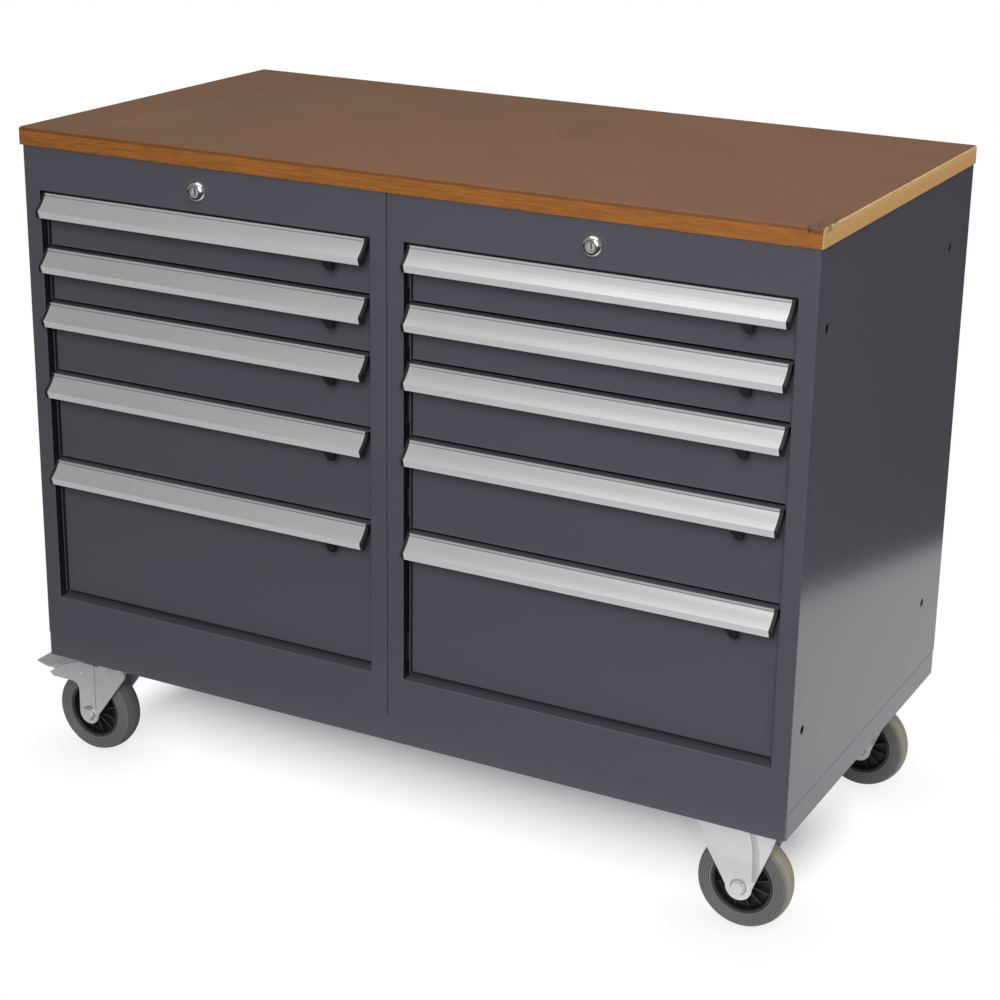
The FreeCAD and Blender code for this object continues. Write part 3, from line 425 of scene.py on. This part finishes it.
def zinc_plate(s, name="Zinc plate", shade=1.0):
    """Zinc with soft spangle and handling marks, with painted shade on the castors' pressed band, crease and
    washers and painted highlights along the band's edges
    """
    f = Finish(name)
    # a shade below 1 gives a darker copy of the zinc as painted shade
    zinc = times(s.zinc, shade)
    clouds = f.noise(90, 3, 0.5)
    marks = f.noise(60, 5, 0.7)
    colour = f.mix(clouds, times(zinc, 0.92), times(zinc, 1.05))
    colour = f.mix(marks.ramp(0.55, 0.8) * 0.3, colour, times(zinc, 0.6))
    above = f.z > RIGHT_WHEEL.z + BAND_RISE
    pressed = f.x.near(RIGHT_WHEEL.x + BAND_PLACE, BAND_HALF) * above
    edges = f.x.near(RIGHT_WHEEL.x + BAND_PLACE, BAND_HALF + BAND_EDGE) * above - pressed
    crease = f.x.near(LEFT_WHEEL.x + CREASE_PLACE, CREASE_HALF) * (f.z > RIGHT_WHEEL.z + CREASE_RISE)
    across = abs(f.x - WHEELS_MIDDLE) - WHEELS_HALF
    washer = across.distance(f.z - RIGHT_WHEEL.z).near(WASHER_RADIUS, WASHER_HALF)
    fading = f.x.ramp(RIGHT_WHEEL.x + 17.0 * MM, RIGHT_WHEEL.x + 28.0 * MM)
    # painted shade in the pressed band, fading across it, in the crease and around the washers
    shaded = pressed * (0.65 - 0.45 * fading)
    colour = f.mix(shaded + crease * 0.8 + washer * 0.7, colour, times(zinc, 0.35))
    # painted highlight along the edges of the pressed band
    colour = f.mix(edges * 0.5, colour, times(zinc, 1.3))
    f.set(Base_Color=colour, Metallic=0.85, Roughness=0.36 + 0.16 * marks,
          Normal=f.bump(marks, 0.08 * MM, 0.4))
    return f.material


def lock_chrome():
    """Polished chrome with faint haze, with dark rings and a dark keyway on the face as painted shade"""
    f = Finish("Lock chrome")
    haze = f.noise(200, 3)
    across = abs(f.x - (LOCK_LEFT + LOCK_RIGHT) / 2) - (LOCK_RIGHT - LOCK_LEFT) / 2
    height = f.z - LOCK_HEIGHT
    radius = across.distance(height)
    # painted shade: dark rings on the face and the keyway slot
    rings = radius.near(*LOCK_RINGS[0]) + radius.near(*LOCK_RINGS[1])
    keyway = (abs(across) < KEY_SLOT_HALF) * (abs(height) < KEY_SLOT_RISE)
    bright = f.mix(haze, (0.66, 0.66, 0.64), (0.78, 0.78, 0.77))
    f.set(Base_Color=f.mix(rings * 0.8 + keyway, bright, (0.03, 0.03, 0.03)),
          Metallic=1 - 0.5 * (radius < KEY_FACE), Roughness=0.14 + 0.1 * haze)
    return f.material


def tyre_rubber(s, name, tread_colour):
    """Grey rubber with painted highlights on the ridge tops and painted shade between the ridges, and a dusty
    tread
    """
    f = Finish(name)
    dust = f.noise(90, 5, 0.7)
    fine = f.noise(1200, 2)
    radius = f.node("ShaderNodeVectorMath", {"operation": "LENGTH"}, Vector=f.stretched(1, 0, 1))["Value"]
    tread = radius.ramp(TREAD_START, TREAD_START + 1.0 * MM)
    wall = f.mix(dust, times(s.rubber, 0.8), times(s.rubber, 1.2))
    inner, outer = ridge_span()
    ridge = ((radius - inner) / ((outer - inner) / s.rings)).fraction()
    # painted highlight on the ridge tops
    wall = f.mix(ridge.near(0.5, 0.14) * 0.45, wall, times(s.rubber, 2.6))
    # painted shade between the ridges
    wall = f.mix(((ridge < 0.08) + (ridge > 0.92)) * 0.5, wall, times(s.rubber, 0.4))
    # the tread colour: dust on the right wheels, painted shade on the left wheels
    wear_and_shade = f.mix(dust, times(tread_colour, 0.75), tuple(tread_colour))
    f.set(Base_Color=f.mix(tread * 0.85, wall, wear_and_shade), Roughness=0.62 + 0.15 * dust,
          Normal=f.bump(fine, 0.06 * MM))
    return f.material


def studio_floor():
    """White sheet under the bench on a dark floor. The camera sees white, with the shadow by the castors"""
    f = Finish("Studio floor")
    right = (0.94 * f.x + 0.34 * f.y).ramp(1.19, 1.21)
    ahead = f.y.ramp(-0.45, -0.6)
    dark = right + ahead - right * ahead
    sheet, bare = (0.82, 0.82, 0.82), (0.03, 0.03, 0.03)
    f.set(Base_Color=f.mix(dark, sheet, bare), Roughness=0.8, Specular_IOR_Level=0.0)
    past_end = 2.5 * (abs(f.x) - SHADOW_HALF).at_least(0.0)
    apart = past_end.distance(f.y)
    touch = (abs(f.x - WHEELS_MIDDLE) - WHEELS_HALF).distance(abs(f.y) - abs(RIGHT_WHEEL.y))
    under = 0.17 + 0.83 * apart.ramp(0.0, 0.19)
    whiteness = under * (0.75 + 0.25 * touch.ramp(0.02, 0.12))
    seen = f.node("ShaderNodeLightPath")["Is Camera Ray"] * whiteness
    white = f.node("ShaderNodeEmission", Color=(1, 1, 1), Strength=1.0)["Emission"]
    mixed = f.tree.nodes.new("ShaderNodeMixShader")
    f.feed(mixed.inputs[0], seen)
    f.tree.links.new(f.shader.outputs[0], mixed.inputs[1])
    f.feed(mixed.inputs[2], white)
    f.tree.links.new(mixed.outputs[0], f.tree.nodes["Material Output"].inputs["Surface"])
    return f.material


# Meshes
STEEL = 1.2 * MM
SILL_TOP = 64.0 * MM
SILL_FOLD = 2.0 * MM
SILL_SUNK = 6.0 * MM
FRONT_SETBACK = 12.5 * MM
FLANGE = 6.0 * MM
FLANGE_DROP = 16.0 * MM
LOCK_SECTION = [
    (7.6, 4), (7.6, -2.6), (8.2, -3.4), (9.2, -3.2), (11.2, -1.9), (12.8, 0.4), (13.9, 2.6), (14.2, 4.4),
    (9.4, 4.5), (9.4, 20), (7.6, 20)]  # mm, radius and depth from the collar's front
TOUCH = 0.1 * MM  # points this near to a place are taken as lying on it


def ring_mesh(name, section, segments):
    """A mesh turned about the Y axis from a closed section of (radius, place along Y)"""
    bm = bmesh.new()
    loops = []
    for i in range(segments):
        turn = 2 * math.pi * i / segments
        loops.append([bm.verts.new((r * math.cos(turn), y, r * math.sin(turn))) for r, y in section])
    for i in range(segments):
        here, there = loops[i], loops[(i + 1) % segments]
        for j in range(len(section)):
            k = (j + 1) % len(section)
            bm.faces.new((here[j], there[j], there[k], here[k]))
    bmesh.ops.recalc_face_normals(bm, faces=bm.faces)
    mesh = bpy.data.meshes.new(name)
    bm.to_mesh(mesh)
    bm.free()
    return mesh


def place_piece(mesh, name, material, body, location, angle=None):
    """Puts a mesh in the scene on a body"""
    piece = bpy.data.objects.new(name, mesh)
    bpy.context.scene.collection.objects.link(piece)
    piece.location = location
    mesh.materials.clear()
    mesh.materials.append(material)
    if angle is not None:
        mesh.shade_smooth()
        mesh.set_sharp_from_angle(angle=math.radians(angle))
    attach(piece, body)
    return piece


def remake(node, name, material, move, boxes=()):
    """A piece that stands for a CAD node: its shape with each point moved by a rule, and boxes added"""
    bm = bmesh.new()
    bm.from_mesh(NODES[node].data)
    for vertex in bm.verts:
        vertex.co += Vector(move(vertex.co))
    for low, high in boxes:
        made = bmesh.ops.create_cube(bm, size=1)["verts"]
        for vertex in made:
            vertex.co = [low[i] + (vertex.co[i] + 0.5) * (high[i] - low[i]) for i in range(3)]
    mesh = bpy.data.meshes.new(name)
    bm.to_mesh(mesh)
    bm.free()
    for polygon in mesh.polygons:
        polygon.use_smooth = False
    piece = place_piece(mesh, name, material, BODY_OF[node], (0, 0, 0))
    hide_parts(node)
    return piece


TYRE_OUTER = (WHEEL_HIGH.z - WHEEL_LOW.z) / 2
TYRE_HALF = 17.0 * MM
RIM_RADIUS = 41.0 * MM
HUB_RADIUS = 13.0 * MM
HUB_HALF = 22.0 * MM
AXLE_RADIUS = 5.1 * MM
RIDGE_RISE, RIDGE_STEPS = 0.8 * MM, 6
WALL_SUNK, WALL_BULGE = 1.7 * MM, 1.2 * MM
CROWN, TREAD_STEPS = 3.6 * MM, 28
TREAD_GROOVE, TREAD_GROOVES = 0.25 * MM, 5
RING_INNER = RIM_RADIUS - 4.4 * MM
RIB_HALF, RIB_TIP = 1.3 * MM, 0.7  # half a rib's width, and the share left at its outer edge
RIB_ROOT, RIB_AT_RING, RIB_AT_HUB = 1.2 * MM, 9.5 * MM, 12.5 * MM  # places along the axle
RIB_SUNK = 0.6 * MM


def ridge_span():
    """Radii between which the ridges of a tyre wall lie"""
    return RIM_RADIUS + 3.5 * MM, TYRE_OUTER - 4.6 * MM


def tyre_section(rings):
    """Half-round ridges on both walls and a crowned, lightly grooved tread"""
    inner, outer = ridge_span()
    wall = [(RIM_RADIUS, 14.0 * MM), (RIM_RADIUS + 1.2 * MM, 15.6 * MM)]
    pitch = (outer - inner) / rings
    for ring in range(rings):
        for step in range(RIDGE_STEPS):
            t = step / RIDGE_STEPS
            radius = inner + (ring + t) * pitch
            bulge = math.sin(math.pi * (radius - RIM_RADIUS) / (TYRE_OUTER - RIM_RADIUS))
            rise = RIDGE_RISE * math.sin(math.pi * t)
            wall.append((radius, TYRE_HALF - WALL_SUNK + WALL_BULGE * bulge + rise))
    tread = []
    for i in range(TREAD_STEPS + 1):
        t = -1 + 2 * i / TREAD_STEPS
        groove = TREAD_GROOVE * max(0.0, math.cos(t * math.pi * TREAD_GROOVES)) ** 4
        tread.append((TYRE_OUTER - 0.02 * MM - CROWN * t * t - groove, -(TYRE_HALF - 1.2 * MM) * t))
    return wall + tread + [(r, -y) for r, y in reversed(wall)]


def rim_mesh(ribs):
    """Black plastic rim: hub, thin web, ring with a lip and ribs that taper outward"""
    section = [
        (AXLE_RADIUS, -HUB_HALF), (HUB_RADIUS - 4 * MM, -HUB_HALF), (HUB_RADIUS - 3 * MM, -HUB_HALF + 1 * MM),
        (HUB_RADIUS, -15 * MM), (HUB_RADIUS + 1 * MM, -3 * MM), (HUB_RADIUS + 3 * MM, -1.6 * MM),
        (RING_INNER - 2 * MM, -1.6 * MM), (RING_INNER, -3.5 * MM), (RING_INNER + 0.4 * MM, -13.5 * MM),
        (RING_INNER + 1.4 * MM, -15 * MM), (RIM_RADIUS, -15 * MM), (RIM_RADIUS, -13.9 * MM)]
    mesh = ring_mesh("Rim", section + [(r, -y) for r, y in reversed(section)], 96)
    bm = bmesh.new()
    bm.from_mesh(mesh)
    for i in range(ribs):
        turn = 2 * math.pi * (i + 0.5) / ribs
        along = Vector((math.cos(turn), 0, math.sin(turn)))
        across = Vector((-math.sin(turn), 0, math.cos(turn))) * RIB_HALF
        start, end = along * (HUB_RADIUS - RIB_SUNK), along * (RING_INNER + RIB_SUNK)
        for side in (-1, 1):
            root, at_ring, at_hub = (Vector((0, side * y, 0)) for y in (RIB_ROOT, RIB_AT_RING, RIB_AT_HUB))
            v = []
            for half in (-across, across):
                corners = (start + half + root, end + half + root,
                           end + half * RIB_TIP + at_ring, start + half * RIB_TIP + at_hub)
                v += [bm.verts.new(corner) for corner in corners]
            faces = ((0, 1, 2, 3), (7, 6, 5, 4), (0, 4, 5, 1), (3, 2, 6, 7), (0, 3, 7, 4), (1, 5, 6, 2))
            made = [bm.faces.new([v[k] for k in face]) for face in faces]
            bmesh.ops.recalc_face_normals(bm, faces=made)
    bm.to_mesh(mesh)
    bm.free()
    return mesh


# Operators
class WORKBENCH_OT_worktop(bpy.types.Operator):
    """Finishes the wooden worktop"""
    bl_idname = "workbench.worktop"
    bl_label = "Worktop"

    def execute(self, context):
        dress(NODES["worktop"], multiplex(context.scene.workbench.top))
        return {"FINISHED"}


class WORKBENCH_OT_housing(bpy.types.Operator):
    """Paints the cabinets, plinth and drawers"""
    bl_idname = "workbench.housing"
    bl_label = "Cabinets and Drawers"

    def execute(self, context):
        scene = context.scene.workbench
        paint = powder_coat(scene.paint)
        dress(NODES["plinth"], paint)
        for side in SIDES:
            node = "cabinet_" + side
            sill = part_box(node)[0].z + SILL_TOP
            remake(node, "shell_" + side, paint,
                   lambda point: (0, 0, -SILL_SUNK if sill - SILL_FOLD < point.z < sill + TOUCH else 0))
        for tag in drawer_tags():
            self.drawer("drawer_" + tag, "tray_" + tag, paint, scene.handle.inset)
        return {"FINISHED"}

    def drawer(self, node, name, paint, inset):
        """A drawer whose front is set in at the left, with folded sides in front of the panel"""
        low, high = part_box(node)
        left, right = low.x + inset, high.x
        near, far = low.y + FRONT_SETBACK - FLANGE, low.y + FRONT_SETBACK + STEEL
        top = high.z - FLANGE_DROP
        boxes = [((x, near, low.z), (x + STEEL, far, top)) for x in (left, right - STEEL)]
        remake(node, name, paint,
               lambda point: (inset if point.x < low.x + TOUCH else 0, 0, 0), boxes)


class WORKBENCH_OT_handles(bpy.types.Operator):
    """Finishes the handle strips, their caps and the thumb latches"""
    bl_idname = "workbench.handles"
    bl_label = "Handles"

    def execute(self, context):
        settings = context.scene.workbench.handle
        black = moulded_black(settings)
        for tag in drawer_tags():
            node = "handle_" + tag
            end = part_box(node)[0].x + settings.cap + TOUCH
            remake(node, "strip_" + tag, anodised(settings, node),
                   lambda point: (settings.inset if point.x < end else 0, 0, 0))
            dress(NODES["latch_" + tag], black)
        return {"FINISHED"}


class WORKBENCH_OT_slides(bpy.types.Operator):
    """Plates the drawer slides and locking bars with zinc"""
    bl_idname = "workbench.slides"
    bl_label = "Slides"

    def execute(self, context):
        zinc = zinc_plate(context.scene.workbench.castor)
        dress(NODES["slide_rails"], zinc)
        for tag in drawer_tags():
            dress(NODES["slide_middle_" + tag], zinc)
        for side in SIDES:
            dress(NODES["lock_bar_" + side], zinc)
        return {"FINISHED"}


class WORKBENCH_OT_locks(bpy.types.Operator):
    """Chromes the locks"""
    bl_idname = "workbench.locks"
    bl_label = "Locks"

    def execute(self, context):
        chrome = lock_chrome()
        section = [(r * MM, y * MM) for r, y in LOCK_SECTION]
        for side, x in zip(SIDES, (LOCK_LEFT, LOCK_RIGHT)):
            dress(NODES["lock_core_" + side], chrome)
            mesh = ring_mesh("Collar", section, 64)
            for vertex in mesh.vertices:
                vertex.co += Vector((x, COLLAR_LOW.y, LOCK_HEIGHT))
            collar = place_piece(mesh, "collar_" + side, chrome, "bench", (0, 0, 0), 40)
            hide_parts("lock_collars")
        return {"FINISHED"}


class WORKBENCH_OT_castors(bpy.types.Operator):
    """Plates the castors and builds ridged tyres on ribbed rims"""
    bl_idname = "workbench.castors"
    bl_label = "Castors"

    def execute(self, context):
        castor = context.scene.workbench.castor
        # the swivel plates and the left forks and pedals get a darker copy of the zinc as painted shade
        zinc, wear_and_shade = zinc_plate(castor), zinc_plate(castor, "Shaded zinc", 0.85)
        black = moulded_black(context.scene.workbench.handle)
        # the left tyres take the darker tread colour as painted shade
        rubber = {"right": tyre_rubber(castor, "Dusty tyre", castor.tread),
                  "left": tyre_rubber(castor, "Shaded tyre", castor.shaded_tread)}
        dress(NODES["castor_brackets"], zinc)
        dress(NODES["castor_swivel_plates"], wear_and_shade)
        for row in ROWS:
            dress(NODES[f"fork_{row}_left"], wear_and_shade)
            dress(NODES[f"brake_pedal_{row}_left"], wear_and_shade)
            for side in SIDES:
                where = f"{row}_{side}"
                wheel = "wheel_" + where
                centre = middle(wheel)
                tyre = ring_mesh("Tyre", tyre_section(castor.rings), 144)
                tyre = place_piece(tyre, "tyre_" + where, rubber[side], wheel, centre, 30)
                rim = place_piece(rim_mesh(castor.ribs), "rim_" + where, black, wheel, centre, 30)
                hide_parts(wheel)
                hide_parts(wheel)
        return {"FINISHED"}


LAMPS = (("Overhead", (0.2, 0.0, 3.0), 2.6, 35.0), ("Front", (1.5, -3.5, 2.2), 2.0, 150.0),
         ("Side", (3.2, 0.8, 1.6), 1.6, 38.0))  # place, width and power
LAMP_AIM = (0, 0, 0.45)
WORLD_STRENGTH = 0.3
FLOOR_HALF, FLOOR_DROP = 12, 0.5 * MM


class WORKBENCH_OT_studio(bpy.types.Operator):
    """Sets the white floor, the lamps and the camera"""
    bl_idname = "workbench.studio"
    bl_label = "Studio"

    def execute(self, context):
        scene = context.scene
        settings = scene.workbench.studio
        scene.view_settings.view_transform = "Standard"
        self.floor(scene)
        self.lamps(scene)
        camera = bpy.data.cameras.new("Camera")
        camera.lens = settings.lens
        camera.shift_x, camera.shift_y = settings.shift
        camera.clip_end = 50
        holder = bpy.data.objects.new("Camera", camera)
        holder.location = settings.camera
        holder.rotation_euler = [math.radians(a) for a in settings.aim]
        scene.collection.objects.link(holder)
        scene.camera = holder
        return {"FINISHED"}

    def floor(self, scene):
        """A wide floor, seen white by the camera but shaded by the object"""
        bm = bmesh.new()
        bmesh.ops.create_grid(bm, x_segments=4, y_segments=4, size=FLOOR_HALF)
        mesh = bpy.data.meshes.new("Floor")
        bm.to_mesh(mesh)
        bm.free()
        floor = bpy.data.objects.new("Floor", mesh)
        floor.location.z = -FLOOR_DROP
        scene.collection.objects.link(floor)
        mesh.materials.append(studio_floor())

    def lamps(self, scene):
        """Soft world light, with lamps overhead, in front and at the right. The camera sees a white world"""
        world = bpy.data.worlds.new("Studio")
        world.use_nodes = True
        scene.world = world
        tree = world.node_tree
        back = tree.nodes["Background"]
        back.inputs["Strength"].default_value = WORLD_STRENGTH
        light = tree.nodes.new("ShaderNodeLightPath")
        seen = tree.nodes.new("ShaderNodeBackground")
        seen.inputs["Strength"].default_value = 1.0
        for node in (back, seen):
            node.inputs["Color"].default_value = (1, 1, 1, 1)
        mixed = tree.nodes.new("ShaderNodeMixShader")
        tree.links.new(light.outputs["Is Camera Ray"], mixed.inputs["Fac"])
        tree.links.new(back.outputs[0], mixed.inputs[1])
        tree.links.new(seen.outputs[0], mixed.inputs[2])
        tree.links.new(mixed.outputs[0], tree.nodes["World Output"].inputs["Surface"])
        for name, place, size, power in LAMPS:
            lamp = bpy.data.lights.new(name, "AREA")
            lamp.size = size
            lamp.energy = power
            holder = bpy.data.objects.new(name, lamp)
            holder.location = place
            aim = Vector(LAMP_AIM) - Vector(place)
            holder.rotation_euler = aim.to_track_quat("-Z", "Y").to_euler()
            scene.collection.objects.link(holder)


STEPS = (WORKBENCH_OT_worktop, WORKBENCH_OT_housing, WORKBENCH_OT_handles, WORKBENCH_OT_slides,
         WORKBENCH_OT_locks, WORKBENCH_OT_castors, WORKBENCH_OT_studio)
GROUPS = (PaintSettings, TopSettings, HandleSettings, CastorSettings, StudioSettings, WorkbenchSettings)


class WORKBENCH_PT_panel(bpy.types.Panel):
    """Lists the steps that dress the workbench"""
    bl_label = "Workbench"
    bl_idname = "WORKBENCH_PT_panel"
    bl_space_type = "VIEW_3D"
    bl_region_type = "UI"
    bl_category = "Workbench"

    def draw(self, context):
        for step in STEPS:
            self.layout.operator(step.bl_idname)


def register():
    for cls in (*GROUPS, *STEPS, WORKBENCH_PT_panel):
        bpy.utils.register_class(cls)
    bpy.types.Scene.workbench = PointerProperty(type=WorkbenchSettings)


def unregister():
    del bpy.types.Scene.workbench
    for cls in reversed((*GROUPS, *STEPS, WORKBENCH_PT_panel)):
        bpy.utils.unregister_class(cls)


def main():
    register()
    for step in STEPS:
        group, name = step.bl_idname.split(".")
        getattr(getattr(bpy.ops, group), name)()


if __name__ == "__main__":
    main()
